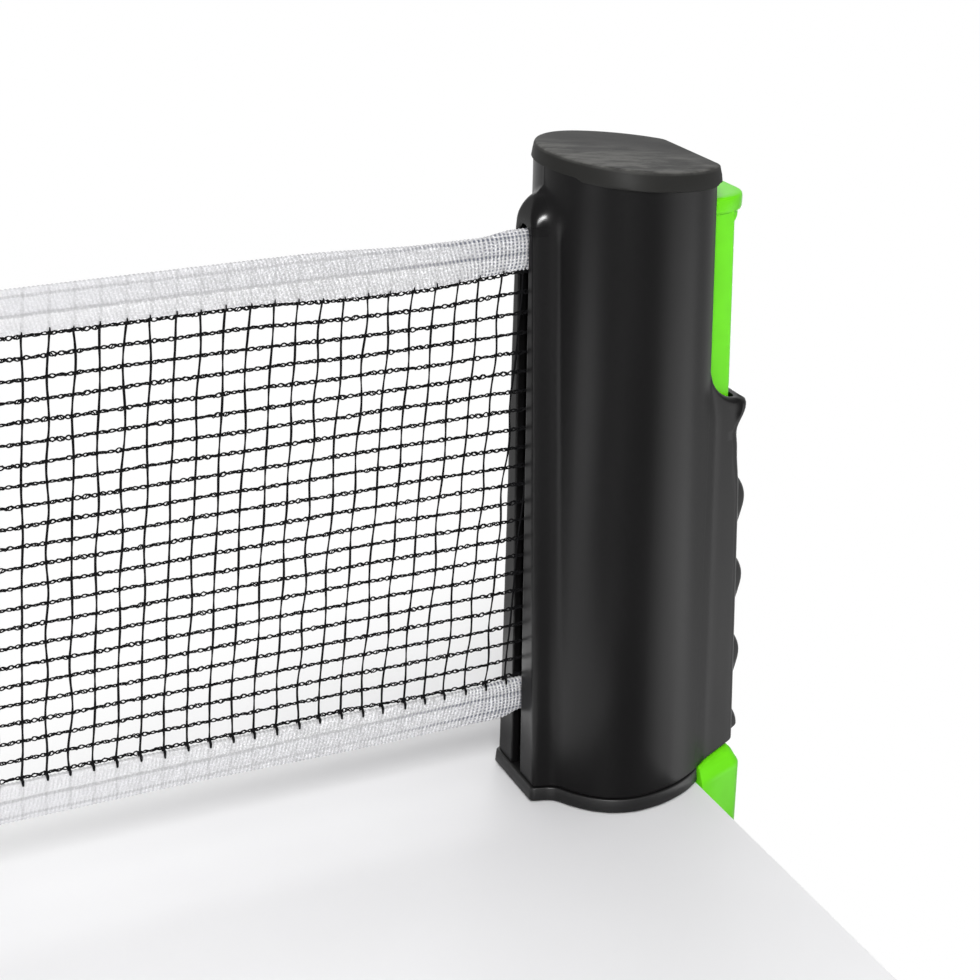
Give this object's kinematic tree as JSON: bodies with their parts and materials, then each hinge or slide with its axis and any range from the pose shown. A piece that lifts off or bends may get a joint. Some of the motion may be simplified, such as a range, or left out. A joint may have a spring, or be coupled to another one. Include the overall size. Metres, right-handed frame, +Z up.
{
  "type": "table tennis net clamp",
  "caption": "Upright post that clamps to a table edge and holds a table tennis net: a black body with a net slot and reel, a finger grip and a green spring-loaded clamp slider.",
  "frame": {"origin": "on the table's top face, on the axis of the net reel", "axes": "+Z up along the post, +X along the net from the net out over the table's edge, Y across the net"},
  "size_m": [0.2139, 0.0534, 0.1882],
  "materials": {
    "housing_black": "fine moulded texture, satin",
    "cap_black": "satin",
    "foot_black": "satin",
    "inner_plastic": "moulded",
    "batten_black": "moulded",
    "slider_green": "satin gloss, bright green",
    "pad_rubber": "matte",
    "screw_steel": "zinc plated",
    "spindle_steel": "ground",
    "pin_steel": "ground",
    "spring_steel": "drawn wire",
    "tube_aluminium": "drawn",
    "bush_brass": "turned",
    "net_cord": "knotted cord",
    "white_tape": "knitted tape, stitched"
  },
  "bodies": {
    "housing": {"housing_shell": "housing_black", "top_cap": "cap_black", "base_foot": "foot_black", "foot_pad": "pad_rubber", "foot_screws": "screw_steel", "reel_spindle": "spindle_steel", "spring_collar": "inner_plastic", "shell_spring_pins": "pin_steel", "clamp_spring_left": "spring_steel", "clamp_spring_right": "spring_steel", "net_lead_in": "net_cord", "net_mesh": "net_cord", "net_top_tape": "white_tape", "net_bottom_tape": "white_tape"},
    "reel": {"reel_tube": "tube_aluminium", "reel_lower_plug": "inner_plastic", "reel_upper_plug": "inner_plastic", "lower_bush": "bush_brass", "upper_bush": "bush_brass", "return_spring": "spring_steel", "wound_mesh": "net_cord", "wound_top_tape": "white_tape", "wound_bottom_tape": "white_tape"},
    "net_end": {"end_batten": "batten_black", "batten_hooks": "batten_black"},
    "slider": {"clamp_slider": "slider_green", "slider_spring_pins": "pin_steel", "jaw_pad": "pad_rubber"}
  },
  "joints": [
    {"name": "clamp_slide", "type": "slide", "parent": "housing", "child": "slider", "axis": [0, 0, 1], "range_m": [-0.038, 0], "stiffness_N_per_m": 300, "springref_m": 0.04, "deforming": ["clamp_spring_left", "clamp_spring_right"]},
    {"name": "reel_spin", "type": "hinge", "parent": "housing", "child": "reel", "pos_m": [0, 0, 0], "axis": [0, 0, 1], "range_deg": [0, 631]},
    {"name": "net_pull", "type": "slide", "parent": "housing", "child": "net_end", "axis": [1, 0, 0], "range_m": [0, 0.1377], "deforming": ["net_mesh", "net_top_tape", "net_bottom_tape"]}
  ],
  "couplings": [
    {"joint": "net_pull", "follows": "reel_spin", "m_per_rad": 0.0125}
  ]
}
